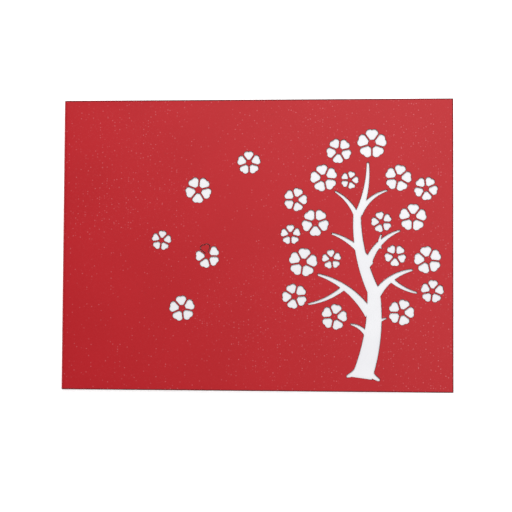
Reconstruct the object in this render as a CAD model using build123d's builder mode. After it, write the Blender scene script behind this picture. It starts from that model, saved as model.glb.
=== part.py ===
from build123d import *
import math
import os

# A pop-up greeting card, lying closed on its back panel, front up.
# +X runs from the spine to the opening edge, +Y to the top of the card, +Z up.
# The origin is the centre of the card's underside. Millimetres.

# Cover: one sheet of pearl card, creased at the spine
card_width = 201.0        # spine to opening edge, over the round of the fold
card_height = 149.5
cover_sheet = 0.35
spine_radius = 1.8        # outside of the spine's round fold
ajar_angle = 2.5          # the folded paper inside keeps the front from lying flat
front_setback = 0.5       # the front edge stops this far short of the back edge

# Pages: one folded sheet of white card inside the cover
page_sheet = 0.25
page_inset = 1.0          # the cover stands proud of the pages on three sides
page_drop = 0.25          # air between the cut front and the page behind it

# Cut-out picture. Its places are in drawing units, which the space on the card turns into millimetres
picture_foot = 7.0        # from the bottom edge of the card to the trunk's foot
picture_head = 15.0       # from the top of the tree to the top edge
picture_side = 4.5        # from the outermost petals to the opening edge
petal_count = 5
petal_bar = 0.8           # card left between two petals
petal_steps = 5           # straight cuts round each lobe of a petal
heart_ratio = 0.25        # of the blossom's radius, from its heart to a petal's narrow end
shoulder_ratio = 0.62     # to the end of the petal's straight sides
notch_ratio = 0.88        # to the notch between its two lobes
lobe_ratio = 0.27         # from the petal's middle to the top of a lobe
cut_through = 0.4         # how far each cut reaches past the cover's sheet

# Pop-up tree: two families of paper slices, slotted into each other and folded flat
slice_sheet = 0.25
slice_air = 0.07          # between two slices that lie on each other
slice_spacing = 12.0      # between the slices of one family
family = (-1, 0, 1)
stem_height = 63.0        # from the gutter to the foot of the crown
crown_radius = 42.0
crown_taper = 9.0         # the outer slices are this much smaller
crown_margin = 7.0        # from the crown to the page's lower edge
crown_lobes = 7
lobe_radius = 14.0
crease_width = 1.2        # where a slice steps over its neighbour
slot_clearance = 0.4      # on each side of a crease
slot_overlap = 0.5        # how far the half-height slots pass the middle
trunk_half_width = 6.0
root_rise = 16.0          # height of the flare at the trunk's foot
root_spread = 3.0
gutter_clearance = 1.5    # the free side of the trunk stays this far from the fold
tab_start = 14.0          # along the foot, from the gutter
tab_length = 11.0
tab_depth = 6.0
tab_fold = 1.0            # the tab's bend, from the slice down or up to its page
fold_slant = 45.0         # the feet leave the gutter at this angle

slope = math.radians(ajar_angle)
slant = math.radians(fold_slant)


class FoldedSheet:
    """Sizes of a sheet folded once: flat underneath, round at the spine, ajar on top."""

    def __init__(self, fold_x, base, radius, sheet, back_edge, front_edge):
        self.fold_x = fold_x
        self.base = base
        self.radius = radius
        self.sheet = sheet
        self.back_edge = back_edge
        self.centre = (fold_x, base + radius)
        self.front_start = self.on_front(radius)
        self.front_length = (front_edge - self.front_start[0]) / math.cos(slope)

    def on_front(self, reach, along=0.0):
        """Point at a distance from the fold's centre, square to the front, and along it."""
        x = self.centre[0] - reach * math.sin(slope) + along * math.cos(slope)
        z = self.centre[1] + reach * math.cos(slope) + along * math.sin(slope)
        return (x, z)

    def inner_height(self, x):
        """Height of the front's underside above the back panel's top, at x."""
        start = self.on_front(self.radius - self.sheet)
        return start[1] + (x - start[0]) * math.tan(slope) - self.base - self.sheet

    def outline(self):
        """Closed outline of the sheet's edge, seen along the spine."""
        inner = self.radius - self.sheet
        sweep = 180 - ajar_angle
        Line((self.back_edge, self.base), (self.fold_x, self.base))
        CenterArc(self.centre, self.radius, 270, -sweep)
        Line(self.front_start, self.on_front(self.radius, self.front_length))
        Line(self.on_front(self.radius, self.front_length), self.on_front(inner, self.front_length))
        Line(self.on_front(inner, self.front_length), self.on_front(inner))
        CenterArc(self.centre, inner, 270 - sweep, sweep)
        Line((self.fold_x, self.base + self.sheet), (self.back_edge, self.base + self.sheet))
        Line((self.back_edge, self.base + self.sheet), (self.back_edge, self.base))


cover_size = FoldedSheet(
    fold_x=spine_radius - card_width / 2,
    base=0.0,
    radius=spine_radius,
    sheet=cover_sheet,
    back_edge=card_width / 2,
    front_edge=card_width / 2 - front_setback,
)
page_size = FoldedSheet(
    fold_x=cover_size.fold_x,
    base=cover_sheet,
    radius=spine_radius - cover_sheet - page_drop / (1 + math.cos(slope)),
    sheet=page_sheet,
    back_edge=card_width / 2 - page_inset,
    front_edge=card_width / 2 - front_setback - page_inset,
)

# Picture. Each bough is (start, end, bend to the left of its run, base width, tip width)
boughs = [
    ((0, 0), (6, 45), -2.5, 10.5, 6.4),
    ((6, 44), (-2.5, 84), 2.4, 6.2, 3.8),
    ((-2.5, 82), (3, 109.5), -1.6, 3.8, 1.2),
    ((3.5, 33), (-22, 52.5), -3.0, 5.0, 1.2),
    ((-8.5, 46.5), (-27, 37.5), 1.4, 2.6, 0.9),
    ((6.4, 40), (25.2, 55), 3.0, 5.0, 1.2),
    ((14.5, 50.5), (27.6, 43.5), -1.0, 2.6, 0.9),
    ((4.5, 57), (-15, 73.5), -2.5, 4.2, 1.0),
    ((3.4, 59), (19, 75), 2.6, 4.2, 1.0),
    ((-1.5, 79), (-13.5, 95), -2.0, 3.2, 0.9),
    ((-0.8, 84), (12.5, 95.5), 2.0, 3.0, 0.9),
    ((1.5, 9.5), (-7.0, 0.9), 1.4, 5.6, 1.6),
    ((0.5, 9.5), (8.6, -0.8), -1.4, 5.6, 1.6),
    ((2.8, 21.5), (-5.4, 27.3), -1.2, 2.8, 0.8),
    ((5.2, 24), (12.2, 30.4), 1.2, 2.8, 0.8),
    ((9.2, 66), (9.8, 73), 0.6, 1.8, 0.7),
]

# Each blossom is (x, y, radius, turn in degrees), from the trunk's foot
blossoms = [
    (-30.0, 58.8, 7.8, 10), (-34.2, 41.5, 6.8, 40), (-15.4, 60.4, 5.2, 25), (-14.0, 31.0, 7.0, 5),
    (33.4, 60.2, 7.4, 30), (35.6, 44.2, 6.2, 12), (17.0, 62.4, 5.8, 50), (20.0, 33.5, 7.0, 0),
    (-23.8, 79.2, 7.4, 55), (-36.4, 73.0, 5.4, 20), (25.8, 81.8, 7.4, 15), (10.0, 79.5, 5.6, 33),
    (-19.5, 102.0, 7.4, 30), (-6.3, 101.0, 4.8, 0), (18.4, 102.0, 7.2, 5), (32.4, 96.6, 6.4, 60),
    (5.0, 119.6, 8.0, 18), (-11.8, 116.0, 6.8, 48), (-34.0, 91.0, 6.4, 0),
    (-58.0, 110.0, 6.4, 20), (-84.0, 96.0, 7.2, 50), (-103.0, 70.0, 5.4, 10), (-79.0, 62.0, 6.6, 35),
    (-92.0, 35.0, 7.0, 25),
]
uncut = (22, 1)           # the blossom and petal whose chip has stayed in place
tree_top = max(y + radius for x, y, radius, turn in blossoms)
tree_side = max(x + radius for x, y, radius, turn in blossoms)
unit = (card_height - picture_foot - picture_head) / tree_top


def bough_outline(start, end, bend, base_width, tip_width):
    """A tapered, bowed strip with a pointed tip."""
    start = Vector(*start) * unit
    end = Vector(*end) * unit
    run = (end - start).normalized()
    side = Vector(-run.Y, run.X)
    middle = (start + end) * 0.5 + side * bend * unit
    base_half = side * base_width * unit * 0.5
    tip_half = side * tip_width * unit * 0.5
    middle_half = (base_half + tip_half) * 0.5
    tip = end + run * tip_half.length
    ThreePointArc(start + base_half, middle + middle_half, end + tip_half)
    Line(end + tip_half, tip)
    Line(tip, end - tip_half)
    ThreePointArc(end - tip_half, middle - middle_half, start - base_half)
    Line(start - base_half, start + base_half)


def petal_outline(radius):
    """A petal along +X: straight sides beside its neighbours, two round lobes and a notch."""
    wedge = math.pi / petal_count
    heart_x = heart_ratio * radius
    shoulder_x = shoulder_ratio * radius
    notch_x = notch_ratio * radius
    lobe_y = lobe_ratio * radius

    def side_y(x):
        return x * math.tan(wedge) - petal_bar / 2 / math.cos(wedge)

    for hand in (1, -1):
        heart = (heart_x, hand * side_y(heart_x))
        shoulder = (shoulder_x, hand * side_y(shoulder_x))
        lobe = ThreePointArc(shoulder, (notch_x, hand * lobe_y), (notch_x, 0), mode=Mode.PRIVATE)
        Polyline(heart, *[lobe @ (step / petal_steps) for step in range(petal_steps + 1)])
    Line((heart_x, side_y(heart_x)), (heart_x, -side_y(heart_x)))


def petal_face(radius):
    """One petal of a blossom whose heart is at the origin."""
    with BuildSketch() as petal:
        with BuildLine():
            petal_outline(radius)
        make_face()
    return petal.sketch


petals = []
for number, (x, y, radius, turn) in enumerate(blossoms):
    petal = petal_face(radius * unit)
    for place in range(petal_count):
        if (number, place) != uncut:
            petals.append(Pos(x * unit, y * unit) * Rot(Z=turn + place * 360 / petal_count) * petal)

with BuildSketch() as picture:
    for bough in boughs:
        with BuildLine():
            bough_outline(*bough)
        make_face()
    add(petals)

# Cover
picture_inset = picture_side + tree_side * unit
picture_origin = cover_size.on_front(spine_radius, cover_size.front_length - picture_inset)
front_plane = Plane(
    origin=(picture_origin[0], picture_foot - card_height / 2, picture_origin[1]),
    x_dir=(math.cos(slope), 0, math.sin(slope)),
    z_dir=(-math.sin(slope), 0, math.cos(slope)),
)
with BuildPart() as cover:
    with BuildSketch(Plane.XZ):
        with BuildLine():
            cover_size.outline()
        make_face()
    extrude(amount=card_height / 2, both=True)
    with BuildSketch(front_plane):
        add(picture.sketch)
    extrude(amount=-(cover_sheet + cut_through), mode=Mode.SUBTRACT)
cover.part.label = "cover"

# Pages
with BuildPart() as inner_sheet:
    with BuildSketch(Plane.XZ):
        with BuildLine():
            page_size.outline()
        make_face()
    extrude(amount=card_height / 2 - page_inset, both=True)
inner_sheet.part.label = "inner_sheet"

# Pop-up tree. Its own plane lies on the back page, with its origin on the gutter:
# X runs across the trunk, towards the foot at -X, and Y up the trunk.
page_top = cover_sheet + page_sheet
crown_centre = stem_height + crown_radius
crown_centre_y = crown_margin + crown_radius - card_height / 2
tree_plane = Plane(
    origin=(page_size.fold_x, crown_centre_y + crown_centre * math.sin(slant), page_top),
    x_dir=(-math.cos(slant), -math.sin(slant), 0),
    z_dir=(0, 0, 1),
)
across_plane = Plane(origin=tree_plane.origin, x_dir=tree_plane.x_dir, z_dir=-tree_plane.y_dir)
level_pitch = slice_sheet + slice_air
level_count = 2 * len(family)
slice_length = crown_centre + crown_radius
slice_reach = crown_radius + slice_spacing
slot_width = crease_width + 2 * slot_clearance


def creases(place):
    """Where the slice at this place of one family crosses the slices of the other."""
    return [(place + other) * slice_spacing for other in family]


def stepped_outline(place, first_level, step):
    """Edge of a slice that steps one level at each crease, seen along the trunk."""
    edge = [(-slice_reach, first_level * level_pitch)]
    for count, crease in enumerate(creases(place)):
        edge.append((crease - crease_width / 2, (first_level + step * count) * level_pitch))
        edge.append((crease + crease_width / 2, (first_level + step * (count + 1)) * level_pitch))
    edge.append((slice_reach, (first_level + step * len(family)) * level_pitch))
    top = [(x, z + slice_sheet) for x, z in reversed(edge)]
    Polyline(*edge, *top, close=True)


def trunk_outline():
    """Trunk with a flared foot, cut back beside the gutter on its free side."""
    foot = tab_start + tab_length
    crown_foot = stem_height + lobe_radius
    Polyline(
        (-gutter_clearance, 0),
        (-foot, 0),
        (-foot, gutter_clearance),
        (-trunk_half_width - root_spread, root_rise),
        (-trunk_half_width, 2 * root_rise),
        (-trunk_half_width, crown_foot),
        (trunk_half_width, crown_foot),
        (trunk_half_width, 2 * root_rise),
        (trunk_half_width + root_spread, root_rise),
        (0, gutter_clearance),
        close=True,
    )


def slot_ends(place, crease, upper_slots):
    """Where a slot starts and ends up the trunk. A lower slot runs out at the slice's foot."""
    if upper_slots:
        return crown_centre - slot_overlap, slice_length + slot_overlap
    foot = 0 if place == 0 and crease == 0 else stem_height
    return foot - slot_overlap, crown_centre + slot_overlap


def silhouette(place, upper_slots):
    """Lobed crown and trunk of a slice, less its half-height slots."""
    radius = crown_radius - abs(place) * crown_taper
    with BuildSketch(tree_plane.offset(-level_pitch)) as shape:
        with Locations((place * slice_spacing, crown_centre)):
            Circle(radius - lobe_radius / 2)
            with PolarLocations(radius - lobe_radius, crown_lobes, start_angle=90):
                Circle(lobe_radius)
        if place == 0:
            with BuildLine():
                trunk_outline()
            make_face()
        for crease in creases(place):
            low, high = slot_ends(place, crease, upper_slots)
            with Locations((crease, (low + high) / 2)):
                Rectangle(slot_width, high - low, mode=Mode.SUBTRACT)
    return shape.sketch


def tab_sections(level, page_height):
    """Sections of the foot's tab, from the slice to the page that it is glued to."""
    ends = (-tab_start - tab_length, -tab_start)
    faces = []
    for y in (0, -tab_fold, -tab_fold - tab_depth):
        with BuildSketch(across_plane.offset(-y)) as section:
            with BuildLine():
                low = [(x, page_height(x, y) if y < 0 else level * level_pitch) for x in ends]
                Polyline(*low, *[(x, z + slice_sheet) for x, z in reversed(low)], close=True)
            make_face()
        faces.append(section.sketch)
    return faces


def on_back_page(x, y):
    """The back page is the tree's own plane."""
    return 0.0


def under_front_page(x, y):
    """Height at which a slice touches the underside of the front page."""
    world_x = page_size.fold_x + (y - x) * math.cos(slant)
    return page_size.inner_height(world_x) - slice_sheet


def stepped_slice(place, first_level, step, upper_slots):
    """A slice that steps over or under its neighbours, cut to its silhouette."""
    with BuildPart() as sheet:
        with BuildSketch(across_plane):
            with BuildLine():
                stepped_outline(place, first_level, step)
            make_face()
        extrude(amount=-slice_length)
        extrude(silhouette(place, upper_slots), amount=(level_count + 2) * level_pitch, mode=Mode.INTERSECT)
    return sheet.part


# The lower family rises one level at each crease, and the upper family drops one
slice_names = {-1: "far", 0: "trunk", 1: "near"}
tree_slices = []
for place in family:
    with BuildPart() as lower_slice:
        add(stepped_slice(place, 1 - place, 1, True))
        if place == 0:
            loft(sections=tab_sections(1, on_back_page), ruled=True)
    lower_slice.part.label = "lower_slice_" + slice_names[place]
    tree_slices.append(lower_slice.part)
    with BuildPart() as upper_slice:
        add(stepped_slice(place, len(family) + 1 + place, -1, False))
        if place == 0:
            loft(sections=tab_sections(len(family) + 1, under_front_page), ruled=True)
    upper_slice.part.label = "upper_slice_" + slice_names[place]
    tree_slices.append(upper_slice.part)

os.makedirs("parts", exist_ok=True)
export_step(cover.part, "parts/cover.step")
export_step(inner_sheet.part, "parts/inner_sheet.step")
for piece in tree_slices:
    export_step(piece, "parts/" + piece.label + ".step")
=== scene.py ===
import logging
import math
from dataclasses import dataclass
from enum import Enum

import bpy
import numpy as np
from mathutils import Euler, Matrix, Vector
from mathutils.geometry import delaunay_2d_cdt


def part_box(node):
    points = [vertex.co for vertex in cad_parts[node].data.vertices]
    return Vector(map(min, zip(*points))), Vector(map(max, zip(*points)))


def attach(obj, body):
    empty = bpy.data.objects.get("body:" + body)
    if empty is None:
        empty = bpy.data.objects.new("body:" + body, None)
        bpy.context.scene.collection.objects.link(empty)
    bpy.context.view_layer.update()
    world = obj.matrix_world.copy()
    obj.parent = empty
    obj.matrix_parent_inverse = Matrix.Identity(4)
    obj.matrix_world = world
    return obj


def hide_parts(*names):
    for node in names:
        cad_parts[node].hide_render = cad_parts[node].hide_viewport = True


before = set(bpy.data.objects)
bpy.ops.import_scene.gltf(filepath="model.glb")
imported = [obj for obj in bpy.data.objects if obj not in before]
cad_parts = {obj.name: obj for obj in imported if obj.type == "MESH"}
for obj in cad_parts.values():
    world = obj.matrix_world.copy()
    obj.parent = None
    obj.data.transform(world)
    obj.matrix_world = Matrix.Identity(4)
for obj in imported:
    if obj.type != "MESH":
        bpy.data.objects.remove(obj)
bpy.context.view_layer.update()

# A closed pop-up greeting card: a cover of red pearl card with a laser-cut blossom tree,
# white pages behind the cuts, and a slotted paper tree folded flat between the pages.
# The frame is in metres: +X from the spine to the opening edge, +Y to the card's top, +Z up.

MM = 0.001
TINY = 1e-6
MITRE_LIMIT = 1.5
ROOT = "root"
LOG = logging.getLogger("card")

# Sockets of the Mix node for colours
MIX_BELOW = 6
MIX_ABOVE = 7
MIX_RESULT = 2

Colour = tuple[float, float, float]
Point = tuple[float, float]
Band = tuple[float, float]
Bough = tuple[Point, Point, float, float, float]
Blossom = tuple[float, float, float, float]


class Place(Enum):
    """Where a slice of the slotted tree stands in its family."""

    FAR = "far"
    TRUNK = "trunk"
    NEAR = "near"


class Signal:
    """A socket that takes part in plain arithmetic, each operator adding a Math node."""

    def __init__(self, shader: "Shader", socket: bpy.types.NodeSocket) -> None:
        """Keep the shader that the socket belongs to."""
        self.shader = shader
        self.socket = socket

    def _maths(self, operation: str, first: object, second: object) -> "Signal":
        """One Math node on two values or signals."""
        return self.shader.node("ShaderNodeMath", {"operation": operation}, {0: first, 1: second})

    def __add__(self, other: object) -> "Signal":
        """Sum."""
        return self._maths("ADD", self, other)

    def __radd__(self, other: object) -> "Signal":
        """Sum, with the number first."""
        return self._maths("ADD", other, self)

    def __sub__(self, other: object) -> "Signal":
        """Difference."""
        return self._maths("SUBTRACT", self, other)

    def __rsub__(self, other: object) -> "Signal":
        """Difference, with the number first."""
        return self._maths("SUBTRACT", other, self)

    def __mul__(self, other: object) -> "Signal":
        """Product."""
        return self._maths("MULTIPLY", self, other)

    def __rmul__(self, other: object) -> "Signal":
        """Product, with the number first."""
        return self._maths("MULTIPLY", other, self)

    def step(self, low: float, high: float) -> "Signal":
        """Smooth step from 0 at low to 1 at high; low may be the larger.

        Args:
            low: Value where the step is 0.
            high: Value where the step is 1.

        Returns:
            The stepped signal.
        """
        start, end = min(low, high), max(low, high)
        rising = {"Value": self, "From Min": start, "From Max": end}
        rising |= {"To Min": float(low > high), "To Max": float(low < high)}
        return self.shader.node("ShaderNodeMapRange", {"interpolation_type": "SMOOTHSTEP"}, rising)


class Shader:
    """Builds one material's nodes."""

    def __init__(self, name: str) -> None:
        """Start an empty node material.

        Args:
            name: The material's name.
        """
        self.material = bpy.data.materials.new(name)
        self.material.use_nodes = True
        self.tree = self.material.node_tree
        self.tree.nodes.clear()

    def node(self, kind: str, settings: dict, inputs: dict, output: int | str = 0) -> Signal:
        """Add a node, with its settings first and then the values or links of its sockets.

        Args:
            kind: Type name of the node.
            settings: Properties to set before the sockets.
            inputs: Socket index or name to a value, a colour or a signal.
            output: Index or name of the output that is returned.

        Returns:
            The chosen output as a signal.
        """
        made = self.tree.nodes.new(kind)
        for name, value in settings.items():
            setattr(made, name, value)
        for name, value in inputs.items():
            if isinstance(value, Signal):
                self.tree.links.new(value.socket, made.inputs[name])
            else:
                made.inputs[name].default_value = value
        return Signal(self, made.outputs[output])

    def place(self) -> Signal:
        """The point on the piece, in metres."""
        return self.node("ShaderNodeTexCoord", {}, {}, "Object")

    def noise(self, size: float, detail: float = 2.0, rough: float = 0.5) -> Signal:
        """Cloudy noise from 0 to 1.

        Args:
            size: Width of a cloud in metres.
            detail: Octaves of finer clouds.
            rough: Strength of the finer clouds.

        Returns:
            The noise as a number.
        """
        inputs = {"Vector": self.place(), "Scale": 1 / size, "Detail": detail, "Roughness": rough}
        return self.node("ShaderNodeTexNoise", {}, inputs)

    def grains(self, size: float) -> tuple[Signal, Signal]:
        """Scattered grains, one to each cell of an uneven honeycomb.

        Args:
            size: Width of a cell in metres.

        Returns:
            Distance from the nearest grain's heart in cells, and that grain's own random number.
        """
        inputs = {"Vector": self.place(), "Scale": 1 / size}
        distance = self.node("ShaderNodeTexVoronoi", {}, inputs, "Distance")
        colour = Signal(self, distance.socket.node.outputs["Color"])
        chance = self.node("ShaderNodeSeparateColor", {}, {"Color": colour})
        return distance, chance

    def blend(self, mask: Signal, below: object, above: object) -> Signal:
        """Mix two colours, above where mask is 1."""
        inputs = {"Factor": mask, MIX_BELOW: below, MIX_ABOVE: above}
        return self.node("ShaderNodeMix", {"data_type": "RGBA"}, inputs, MIX_RESULT)

    def bump(self, height: Signal, distance: float, strength: float) -> Signal:
        """Normal bumped by a height, where a height of 1 stands that distance proud."""
        inputs = {"Height": height, "Distance": distance, "Strength": strength}
        return self.node("ShaderNodeBump", {}, inputs)

    def surface(self, inputs: dict) -> bpy.types.Material:
        """Close the material with its one surface shader.

        Args:
            inputs: Sockets of the surface shader.

        Returns:
            The finished material.
        """
        shade = self.node("ShaderNodeBsdfPrincipled", {}, inputs)
        output = self.tree.nodes.new("ShaderNodeOutputMaterial")
        self.tree.links.new(shade.socket, output.inputs["Surface"])
        return self.material


def opaque(colour: Colour) -> tuple[float, float, float, float]:
    """The colour with a full alpha."""
    return (*colour, 1.0)


@dataclass(frozen=True)
class PearlCard:
    """Red card with a mica pearl coat, whose specks carry painted glints. A laser has browned its cut
    edges, and their dark rim is also painted edge shade.

    A band holds the values where a pattern reaches 0 and 1. It falls where the first is larger.
    """

    deep: Colour = (0.418, 0.0016, 0.0070)
    light: Colour = (0.446, 0.0030, 0.0095)
    # Colour of a mica speck, lighter than the card: partly the mica's own tone, partly a painted
    # glint.
    flake_glint: Colour = (0.62, 0.16, 0.18)
    # Brown of a laser-cut edge, which also serves as painted edge shade on the rim.
    scorch_and_edge_shade: Colour = (0.085, 0.010, 0.012)
    mottle_band: Band = (0.3, 0.7)
    cloud_size: float = 34 * MM
    cloud_share: float = 0.6
    grain_size: float = 0.5 * MM
    grain_share: float = 0.4
    drift_size: float = 75 * MM
    drift_band: Band = (0.36, 0.62)
    flake_cell: float = 1.25 * MM
    flake_chance: Band = (0.76, 1.04)
    flake_edge: Band = (0.32, 0.10)
    flake_gain: float = 0.16
    flake_glint_strength: float = 0.54
    glitter_cell: float = 0.6 * MM
    glitter_chance: Band = (0.55, 1.0)
    glitter_edge: Band = (0.48, 0.15)
    glitter_least: float = 0.35
    glitter_gain: float = 0.65
    glitter_glint_strength: float = 0.13
    burn_size: float = 2.2 * MM
    burn_waver: float = 0.5
    burn_band: Band = (0.05, 0.65)
    relief: float = 0.015 * MM
    relief_strength: float = 0.5
    gloss: float = 0.46
    grain_dulling: float = 0.10
    flake_polish: float = 0.14
    burn_dulling: float = 0.35
    shine: float = 0.32

    def build(self) -> bpy.types.Material:
        """Make the material.

        The colour drifts between two close reds in wide clouds. One cell in several holds a light
        mica speck with a painted glint, more of them where a wider drift of mica lies, and finer
        sparkling specks, also painted glints, fill the drifts. The edge attribute, 1 at a cut edge,
        burns the colour brown and dulls it: the laser's browning together with painted edge shade.

        Returns:
            The finished material.
        """
        shader = Shader("pearl_red_card")
        cloud = shader.noise(self.cloud_size, detail=4.0)
        drift = shader.noise(self.drift_size).step(*self.drift_band)
        grain = shader.noise(self.grain_size)
        burn_and_edge_shade = self.edge_burn_and_shade(shader)
        # Mica specks, one to a cell: each is painted lighter and smoother, and its sparkle is a
        # painted glint in the colour.
        distance, chance = shader.grains(self.flake_cell)
        flake_glints = (chance + drift * self.flake_gain).step(*self.flake_chance)
        flake_glints = flake_glints * distance.step(*self.flake_edge)
        distance, chance = shader.grains(self.glitter_cell)
        glitter_glints = chance.step(*self.glitter_chance) * distance.step(*self.glitter_edge)
        glitter_glints = glitter_glints * (self.glitter_least + drift * self.glitter_gain)
        mottle = cloud.step(*self.mottle_band) * self.cloud_share
        mottle = mottle + grain.step(*self.mottle_band) * self.grain_share
        # Painted glints: the specks' sparkle laid into the base colour.
        painted_glints = flake_glints * self.flake_glint_strength + glitter_glints * self.glitter_glint_strength
        base = shader.blend(mottle, opaque(self.deep), opaque(self.light))
        base = shader.blend(painted_glints, base, opaque(self.flake_glint))
        # Darkens the rim at every cut: the laser's real browning together with painted edge shade.
        base = shader.blend(burn_and_edge_shade, base, opaque(self.scorch_and_edge_shade))
        rough = self.gloss + grain * self.grain_dulling - flake_glints * self.flake_polish
        return shader.surface({
            "Base Color": base,
            "Roughness": rough + burn_and_edge_shade * self.burn_dulling,
            "Specular IOR Level": self.shine,
            "Normal": shader.bump(grain, self.relief, self.relief_strength),
        })

    def edge_burn_and_shade(self, shader: Shader) -> Signal:
        """The laser's browning and painted edge shade, from 0 on the open sheet to 1 at a cut, a
        little uneven along the edge.

        Args:
            shader: The material's nodes.

        Returns:
            The browning and painted edge shade as a number.
        """
        edge = shader.node("ShaderNodeAttribute", {"attribute_name": "scorch_and_shade"}, {}, "Fac")
        waver = shader.noise(self.burn_size) * self.burn_waver
        return (edge + waver - self.burn_waver / 2).step(*self.burn_band)


@dataclass(frozen=True)
class PlainPaper:
    """Matt uncoated paper with short fibres."""

    name: str
    colour: Colour
    tint: Colour
    cloud_size: float = 18 * MM
    cloud_band: Band = (0.3, 0.7)
    cloud_share: float = 0.7
    fibre_size: float = 0.3 * MM
    fibre_band: Band = (0.4, 0.7)
    fibre_share: float = 0.3
    relief: float = 0.02 * MM
    relief_strength: float = 0.6
    gloss: float = 0.78
    fibre_dulling: float = 0.14

    def build(self) -> bpy.types.Material:
        """Make the material: two close tints in soft clouds, with the bump of pressed fibres.

        Returns:
            The finished material.
        """
        shader = Shader(self.name)
        cloud = shader.noise(self.cloud_size, detail=4.0)
        fibre = shader.noise(self.fibre_size, detail=4.0, rough=0.7)
        clouds = cloud.step(*self.cloud_band) * self.cloud_share
        mask = clouds + fibre.step(*self.fibre_band) * self.fibre_share
        return shader.surface({
            "Base Color": shader.blend(mask, opaque(self.colour), opaque(self.tint)),
            "Roughness": self.gloss + fibre * self.fibre_dulling,
            "Normal": shader.bump(fibre, self.relief, self.relief_strength),
        })


def arc_through(start: Point, middle: Point, end: Point, steps: int) -> np.ndarray:
    """Points on the circle through three points, from the first to the last.

    The centre solves the two equations of equal distance, and the angle runs from the first
    point past the middle one to the last in even steps.

    Args:
        start: First point.
        middle: A point on the way.
        end: Last point.
        steps: Number of equal parts.

    Returns:
        Array of steps + 1 points.
    """
    first, second, third = (np.array(point, float) for point in (start, middle, end))
    normals = 2 * np.array([second - first, third - first])
    excess = [second @ second - first @ first, third @ third - first @ first]
    centre = np.linalg.solve(normals, excess)
    radius = np.linalg.norm(first - centre)
    angles = np.unwrap([math.atan2(*(point - centre)[::-1]) for point in (first, second, third)])
    turn = np.linspace(angles[0], angles[2], steps + 1)
    return centre + radius * np.column_stack([np.cos(turn), np.sin(turn)])


def signed_area(outline: np.ndarray) -> float:
    """Area of a closed outline, above zero where it runs anticlockwise."""
    x, y = outline.T
    return 0.5 * float(np.sum(x * np.roll(y, -1) - np.roll(x, -1) * y))


def grown(outline: np.ndarray, distance: float) -> np.ndarray:
    """A closed anticlockwise outline moved outwards, its corners mitred up to a limit.

    Each point moves along the middle of its two sides' normals, by the distance over the
    cosine of the angle between that middle and a normal.

    Args:
        outline: Array of points.
        distance: How far each side moves.

    Returns:
        Array of as many points.
    """
    run = np.roll(outline, -1, 0) - outline
    run /= np.linalg.norm(run, axis=1, keepdims=True)
    side = np.column_stack([run[:, 1], -run[:, 0]])
    both = side + np.roll(side, 1, 0)
    both /= np.maximum(np.linalg.norm(both, axis=1, keepdims=True), TINY)
    mitre = 1 / np.clip(np.sum(both * side, axis=1, keepdims=True), 1 / MITRE_LIMIT, 1)
    return outline + both * mitre * distance


def inside(points: np.ndarray, outline: np.ndarray) -> np.ndarray:
    """Which points lie in a closed outline: those whose ray crosses it an odd number of times.

    Args:
        points: Array of points.
        outline: Array of the outline's points.

    Returns:
        Array of booleans.
    """
    low, high = outline.min(0), outline.max(0)
    found = np.all((points > low) & (points < high), axis=1)
    x, y = points[found].T[:, :, None]
    x0, y0 = outline.T[:, None]
    x1, y1 = np.roll(outline, -1, 0).T[:, None]
    spans = (y0 > y) != (y1 > y)
    rise = np.where(y1 == y0, 1, y1 - y0)
    crossings = spans & (x < x0 + (y - y0) * (x1 - x0) / rise)
    found[found] = crossings.sum(1) % 2 == 1
    return found


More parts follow.
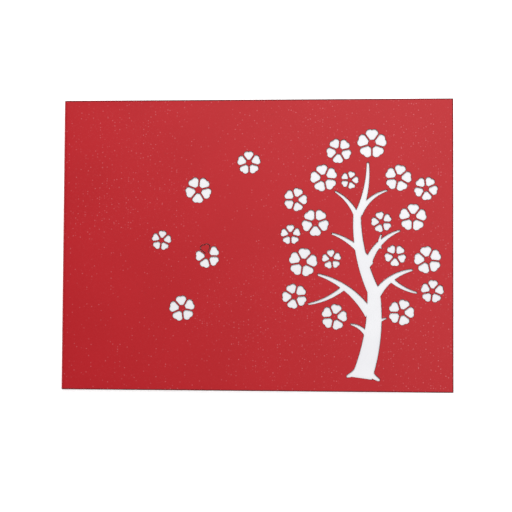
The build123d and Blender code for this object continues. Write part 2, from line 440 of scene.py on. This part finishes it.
@dataclass(frozen=True)
class BlossomTree:
    """The laser-cut picture: a bowed tree with notched blossoms, and blossoms on the wind.

    Places are in drawing units from the trunk's foot, as in the solids. A bough is its start,
    its end, its bend to the left, and its widths at the base and the tip. A blossom is its x,
    y, radius and turn in degrees. The ratios are parts of a blossom's radius.
    """

    boughs: tuple[Bough, ...] = (
        ((0, 0), (6, 45), -2.5, 10.5, 6.4),
        ((6, 44), (-2.5, 84), 2.4, 6.2, 3.8),
        ((-2.5, 82), (3, 109.5), -1.6, 3.8, 1.2),
        ((3.5, 33), (-22, 52.5), -3.0, 5.0, 1.2),
        ((-8.5, 46.5), (-27, 37.5), 1.4, 2.6, 0.9),
        ((6.4, 40), (25.2, 55), 3.0, 5.0, 1.2),
        ((14.5, 50.5), (27.6, 43.5), -1.0, 2.6, 0.9),
        ((4.5, 57), (-15, 73.5), -2.5, 4.2, 1.0),
        ((3.4, 59), (19, 75), 2.6, 4.2, 1.0),
        ((-1.5, 79), (-13.5, 95), -2.0, 3.2, 0.9),
        ((-0.8, 84), (12.5, 95.5), 2.0, 3.0, 0.9),
        ((1.5, 9.5), (-7.0, 0.9), 1.4, 5.6, 1.6),
        ((0.5, 9.5), (8.6, -0.8), -1.4, 5.6, 1.6),
        ((2.8, 21.5), (-5.4, 27.3), -1.2, 2.8, 0.8),
        ((5.2, 24), (12.2, 30.4), 1.2, 2.8, 0.8),
        ((9.2, 66), (9.8, 73), 0.6, 1.8, 0.7),
    )
    blossoms: tuple[Blossom, ...] = (
        (-30.0, 58.8, 7.8, 10), (-34.2, 41.5, 6.8, 40), (-15.4, 60.4, 5.2, 25),
        (-14.0, 31.0, 7.0, 5), (33.4, 60.2, 7.4, 30), (35.6, 44.2, 6.2, 12),
        (17.0, 62.4, 5.8, 50), (20.0, 33.5, 7.0, 0), (-23.8, 79.2, 7.4, 55),
        (-36.4, 73.0, 5.4, 20), (25.8, 81.8, 7.4, 15), (10.0, 79.5, 5.6, 33),
        (-19.5, 102.0, 7.4, 30), (-6.3, 101.0, 4.8, 0), (18.4, 102.0, 7.2, 5),
        (32.4, 96.6, 6.4, 60), (5.0, 119.6, 8.0, 18), (-11.8, 116.0, 6.8, 48),
        (-34.0, 91.0, 6.4, 0), (-58.0, 110.0, 6.4, 20), (-84.0, 96.0, 7.2, 50),
        (-103.0, 70.0, 5.4, 10), (-79.0, 62.0, 6.6, 35), (-92.0, 35.0, 7.0, 25),
    )
    uncut: tuple[int, int] = (22, 1)
    petal_count: int = 5
    petal_bar: float = 0.8 * MM
    heart_ratio: float = 0.25
    shoulder_ratio: float = 0.62
    notch_ratio: float = 0.88
    lobe_ratio: float = 0.27
    kerf: float = 0.13 * MM
    foot: float = 7.0 * MM
    head: float = 15.0 * MM
    side: float = 4.5 * MM
    lobe_steps: int = 14
    bough_steps: int = 14

    def unit(self, height: float) -> float:
        """One drawing unit in metres, on a card of this height."""
        return (height - self.foot - self.head) / max(y + r for x, y, r, turn in self.blossoms)

    def inset(self, height: float) -> float:
        """From the front's opening edge to the middle of the trunk's foot."""
        reach = max(x + r for x, y, r, turn in self.blossoms)
        return self.side + reach * self.unit(height)

    def bough(self, start: Point, end: Point, bend: float, base: float, tip: float) -> np.ndarray:
        """A bowed strip: an arc up its left side, a point, and an arc down its right side.

        Args:
            start: Middle of the base.
            end: Middle of the tip.
            bend: How far the middle lies to the left of the straight run.
            base: Width at the base.
            tip: Width at the tip.

        Returns:
            Array of points, clockwise from the base's left corner.
        """
        first, last = np.array(start, float), np.array(end, float)
        run = (last - first) / np.linalg.norm(last - first)
        left = np.array([-run[1], run[0]])
        middle = (first + last) / 2 + left * bend
        half = (base + tip) / 4
        rising = (first + left * base / 2, middle + left * half, last + left * tip / 2)
        falling = (last - left * tip / 2, middle - left * half, first - left * base / 2)
        arcs = [arc_through(*places, self.bough_steps) for places in (rising, falling)]
        return np.vstack([arcs[0], last + run * tip / 2, arcs[1]])

    def petal(self, radius: float) -> np.ndarray:
        """A petal along +X: straight sides, two round lobes and a notch between them.

        Each side runs half a bar inside the line that parts two petals. The lower half mirrors
        the upper one.

        Args:
            radius: The blossom's radius.

        Returns:
            Array of points, clockwise from the upper corner at the heart.
        """
        wedge = math.pi / self.petal_count
        along = np.array([self.heart_ratio * radius, self.shoulder_ratio * radius])
        heart, shoulder = along * math.tan(wedge) - self.petal_bar / 2 / math.cos(wedge)
        notch = self.notch_ratio * radius
        top = (notch, self.lobe_ratio * radius)
        lobe = arc_through((along[1], shoulder), top, (notch, 0), self.lobe_steps)
        upper = np.vstack([[along[0], heart], lobe])
        return np.vstack([upper, upper[-2::-1] * (1, -1)])

    def score(self, petal: np.ndarray) -> np.ndarray:
        """The laser's narrow slit round a petal whose chip is still held at the heart.

        It goes round half a slit outside the petal's line, and back half a slit inside it.

        Args:
            petal: The petal's outline, clockwise from the upper corner at the heart.

        Returns:
            Array of points, anticlockwise.
        """
        line = petal[::-1]
        outer = grown(line, self.kerf / 2)
        inner = grown(line, -self.kerf / 2)
        return np.vstack([outer, inner[::-1]])

    def outlines(self, height: float) -> list[np.ndarray]:
        """Every cut of the picture, anticlockwise, in metres from the trunk's foot.

        Args:
            height: The card's height.

        Returns:
            A list of closed outlines.
        """
        unit = self.unit(height)
        shapes = [self.bough(*bough) * unit for bough in self.boughs]
        for number, (x, y, radius, turn) in enumerate(self.blossoms):
            petal = self.petal(radius * unit)
            for place in range(self.petal_count):
                shape = self.score(petal) if (number, place) == self.uncut else petal
                angle = math.radians(turn + place * 360 / self.petal_count)
                cosine, sine = math.cos(angle), math.sin(angle)
                spin = np.array([[cosine, sine], [-sine, cosine]])
                shapes.append(shape @ spin + np.array([x, y]) * unit)
        return [shape[::-1] if signed_area(shape) < 0 else shape for shape in shapes]


@dataclass(frozen=True)
class FoldedCover:
    """The red cover: one sheet, cut flat and then folded round the spine."""

    width: float
    height: float
    sheet: float = 0.35 * MM
    radius: float = 1.8 * MM
    ajar: float = math.radians(2.5)
    setback: float = 0.5 * MM
    # Widths of the darkened rims: laser browning, widened on the outer edge as painted edge shade.
    rim: float = 0.30 * MM
    edge_rim: float = 0.75 * MM
    lattice: float = 8.0 * MM
    fold_lines: int = 24
    crease_angle: float = math.radians(35)
    node: str = "cover"
    slot: str = "red_pearl_card"
    finish: PearlCard = PearlCard()
    picture: BlossomTree = BlossomTree()

    @property
    def fold_x(self) -> float:
        """Where the back panel ends and the spine's round begins."""
        return self.radius - self.width / 2

    @property
    def back_length(self) -> float:
        """Flat length of the back panel."""
        return self.width / 2 - self.fold_x

    @property
    def arc_length(self) -> float:
        """Length round the outside of the spine."""
        return self.radius * (math.pi - self.ajar)

    @property
    def front_length(self) -> float:
        """Flat length of the front panel."""
        start = self.fold_x - self.radius * math.sin(self.ajar)
        return (self.width / 2 - self.setback - start) / math.cos(self.ajar)

    @property
    def flat_length(self) -> float:
        """Length of the sheet before it is folded."""
        return self.back_length + self.arc_length + self.front_length

    def folded(self, flat: np.ndarray, depth: float) -> np.ndarray:
        """Carry points of the flat sheet onto the folded one.

        The first number of a flat point runs along the outside from the back panel's opening
        edge: straight along the back, then round the spine by its angle, then straight along
        the front. The second runs up the card. Depth is measured inwards from the outside.

        Args:
            flat: Array of flat points.
            depth: Distance below the outer face.

        Returns:
            Array of points in the frame.
        """
        along, up = flat.T
        turn = np.clip((along - self.back_length) / self.radius, 0, math.pi - self.ajar)
        back = self.back_length - np.minimum(along, self.back_length)
        front = np.maximum(along - self.back_length - self.arc_length, 0)
        reach = self.radius - depth
        x = self.fold_x - reach * np.sin(turn) + back + front * math.cos(self.ajar)
        z = self.radius - reach * np.cos(turn) + front * math.sin(self.ajar)
        return np.column_stack([x, up, z])

    def cuts(self) -> list[np.ndarray]:
        """The picture's outlines on the flat sheet.

        Returns:
            A list of closed outlines.
        """
        along = self.flat_length - self.picture.inset(self.height)
        foot = np.array([along, self.picture.foot - self.height / 2])
        return [outline + foot for outline in self.picture.outlines(self.height)]

    def lay_out(self) -> tuple[np.ndarray, np.ndarray]:
        """Points and lines that the flat sheet's triangles have to follow.

        They are the sheet's edge, every cut, a second line beside each of these at the width of the
        browned rim, which also carries painted edge shade, the creases of the spine and a wide
        lattice.

        Returns:
            Array of points and array of pairs.
        """
        length = self.flat_length
        half = self.height / 2
        edge = np.array([(0, -half), (length, -half), (length, half), (0, half)])
        loops = [edge, grown(edge, -self.edge_rim)]
        for cut in self.cuts():
            loops += [cut, grown(cut, self.rim)]
        folds = np.linspace(self.back_length, self.back_length + self.arc_length, self.fold_lines + 1)
        loops += [np.array([(fold, -half), (fold, half)]) for fold in folds]
        counts = np.array([len(loop) for loop in loops])
        starts = np.concatenate([[0], np.cumsum(counts)[:-1]])
        pairs = []
        for start, count in zip(starts, counts):
            steps = np.arange(count)
            pairs.append(start + np.column_stack([steps, (steps + 1) % count]))
        along = np.arange(self.lattice, length, self.lattice)
        up = np.arange(-half + self.lattice, half, self.lattice)
        lattice = np.stack(np.meshgrid(along, up), -1).reshape(-1, 2)
        return np.vstack([*loops, lattice]), np.vstack(pairs)

    def triangles(self) -> tuple[np.ndarray, np.ndarray]:
        """The flat sheet as triangles, less those whose middle lies in a cut.

        The lines are worked on in millimetres, and output type 0 fills the whole sheet.

        Returns:
            Array of flat points and array of triangles.
        """
        points, pairs = self.lay_out()
        made = delaunay_2d_cdt((points / MM).tolist(), pairs.tolist(), [], 0, TINY)
        flat = np.array(made[0]) * MM
        faces = np.array([face for face in made[2] if len(face) == 3])
        middles = flat[faces].mean(1)
        removed = np.zeros(len(faces), bool)
        for cut in self.cuts():
            removed |= inside(middles, cut)
        faces = faces[~removed]
        used, faces = np.unique(faces, return_inverse=True)
        return flat[used], faces.reshape(-1, 3)

    def build(self) -> bpy.types.Object:
        """Make the folded sheet as one closed mesh, with its laser-browned edges marked, where
        painted edge shade also falls.

        Each side of the sheet has the flat triangles, at depth 0 and at the sheet's thickness.
        An edge that belongs to one triangle only is a cut: a wall joins its two sides.

        Returns:
            The cover.
        """
        flat, faces = self.triangles()
        count = len(flat)
        sides = np.vstack([faces[:, [0, 1]], faces[:, [1, 2]], faces[:, [2, 0]]])
        keys = np.sort(sides, 1) @ (count, 1)
        _, where, times = np.unique(keys, return_index=True, return_counts=True)
        border = sides[where[times == 1]]
        first, last = border.T
        walls = np.column_stack([last, first, first + count, last + count])
        points = np.vstack([self.folded(flat, 0.0), self.folded(flat, self.sheet)])
        mesh = bpy.data.meshes.new("red_cover")
        polygons = faces.tolist() + (faces + count)[:, ::-1].tolist() + walls.tolist()
        mesh.from_pydata(points.tolist(), [], polygons)
        # 1 on every cut edge and wall: where the laser's browning and painted edge shade darken the
        #                               card.
        scorch_and_shade = np.zeros(2 * count)
        scorch_and_shade[border.ravel()] = 1
        scorch_and_shade[border.ravel() + count] = 1
        mesh.attributes.new("scorch_and_shade", "FLOAT", "POINT").data.foreach_set("value", scorch_and_shade)
        mesh.polygons.foreach_set("use_smooth", np.ones(len(mesh.polygons), bool))
        mesh.set_sharp_from_angle(angle=self.crease_angle)
        mesh.materials.append(self.finish.build())
        return self.show(mesh)

    def show(self, mesh: bpy.types.Mesh) -> bpy.types.Object:
        """Show the mesh in place of the cover's solid.

        Args:
            mesh: The finished mesh, in the frame.

        Returns:
            The new object.
        """
        piece = bpy.data.objects.new(mesh.name, mesh)
        bpy.context.scene.collection.objects.link(piece)
        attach(piece, ROOT)
        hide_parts(self.node)
        return piece


@dataclass(frozen=True)
class Pages:
    """The folded white sheet inside the cover, which keeps its solid."""

    node: str = "inner_sheet"
    paper: PlainPaper = PlainPaper("white_page", (0.80, 0.80, 0.82), (0.75, 0.75, 0.775))

    def dress(self) -> bpy.types.Object:
        """Give the pages their paper.

        Returns:
            The pages.
        """
        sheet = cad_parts[self.node]
        sheet.material_slots[0].material = self.paper.build()
        return sheet


@dataclass(frozen=True)
class SlottedTree:
    """The paper tree that lies folded between the pages, which keeps its solids."""

    families: tuple[str, ...] = ("lower_slice_", "upper_slice_")
    bark: PlainPaper = PlainPaper("brown_slice", (0.13, 0.065, 0.035), (0.17, 0.09, 0.052))
    bloom: PlainPaper = PlainPaper("pink_slice", (0.83, 0.38, 0.46), (0.87, 0.46, 0.53))

    def dress(self) -> list[bpy.types.Object]:
        """Give the trunk's slices brown paper and the crown's outer slices pink paper.

        Returns:
            The slices.
        """
        brown, pink = self.bark.build(), self.bloom.build()
        slices = []
        for family in self.families:
            for place in Place:
                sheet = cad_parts[family + place.value]
                sheet.material_slots[0].material = brown if place is Place.TRUNK else pink
                slices.append(sheet)
        return slices


@dataclass(frozen=True)
class SoftBox:
    """A square lamp with a soft face, turned to the card."""

    name: str
    place: tuple[float, float, float]
    size: float
    watts: float

    def hang(self) -> None:
        """Add the lamp to the scene."""
        lamp = bpy.data.lights.new(self.name, "AREA")
        lamp.energy = self.watts
        lamp.size = self.size
        box = bpy.data.objects.new(self.name, lamp)
        box.location = self.place
        box.rotation_euler = Vector(self.place).to_track_quat("Z", "Y").to_euler()
        bpy.context.scene.collection.objects.link(box)


@dataclass(frozen=True)
class Studio:
    """A white light table, two soft boxes under a white sky, and the camera above the card."""

    floor_size: float = 4.0
    floor_drop: float = 0.05 * MM
    floor_colour: Colour = (0.90, 0.90, 0.90)
    floor_rough: float = 0.9
    floor_glow: float = 0.60
    lens: float = 100.22
    camera_place: tuple[float, float, float] = (0.0255, -0.0405, 0.7362)
    camera_turn: tuple[float, float, float] = (2.735, 2.007, 0.333)
    boxes: tuple[SoftBox, ...] = (
        SoftBox("head_light", (0.03, 0.56, 0.75), 0.40, 6.2),
        SoftBox("side_light", (0.31, -0.04, 0.74), 0.40, 2.2),
    )
    sky: float = 0.315
    sky_colour: Colour = (1.0, 1.0, 1.0)

    def floor(self) -> None:
        """Lay the table top as one flat glowing sheet under the card."""
        half = self.floor_size / 2
        mesh = bpy.data.meshes.new("table_top")
        corners = [(-half, -half), (half, -half), (half, half), (-half, half)]
        mesh.from_pydata([(x, y, -self.floor_drop) for x, y in corners], [], [(0, 1, 2, 3)])
        mesh.materials.append(Shader("table_white").surface({
            "Base Color": opaque(self.floor_colour),
            "Roughness": self.floor_rough,
            "Emission Color": opaque(self.floor_colour),
            "Emission Strength": self.floor_glow,
        }))
        table = bpy.data.objects.new("table_top", mesh)
        bpy.context.scene.collection.objects.link(table)

    def light(self) -> None:
        """Hang the soft boxes and fill the sky with even white."""
        for box in self.boxes:
            box.hang()
        world = bpy.data.worlds.new("sky")
        world.use_nodes = True
        background = world.node_tree.nodes["Background"]
        background.inputs["Color"].default_value = opaque(self.sky_colour)
        background.inputs["Strength"].default_value = self.sky
        bpy.context.scene.world = world

    def camera(self) -> None:
        """Place the camera as the photograph's, almost straight above the card."""
        eye = bpy.data.cameras.new("camera")
        eye.lens = self.lens
        camera = bpy.data.objects.new("camera", eye)
        camera.location = self.camera_place
        camera.rotation_euler = Euler([math.radians(turn) for turn in self.camera_turn])
        bpy.context.scene.collection.objects.link(camera)
        bpy.context.scene.camera = camera
        bpy.context.scene.view_settings.view_transform = "Standard"


def main() -> None:
    """Build the card from the outside in, then its studio."""
    logging.basicConfig(level=logging.INFO, format="%(name)s %(message)s")
    low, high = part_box("cover")
    cover = FoldedCover(width=high[0] - low[0], height=high[1] - low[1])
    for piece in (cover.build(), Pages().dress(), *SlottedTree().dress()):
        finish = piece.material_slots[0].material.name
        LOG.info("%s: %s, %d faces", piece.name, finish, len(piece.data.polygons))
    studio = Studio()
    studio.floor()
    studio.light()
    studio.camera()


if __name__ == "__main__":
    main()
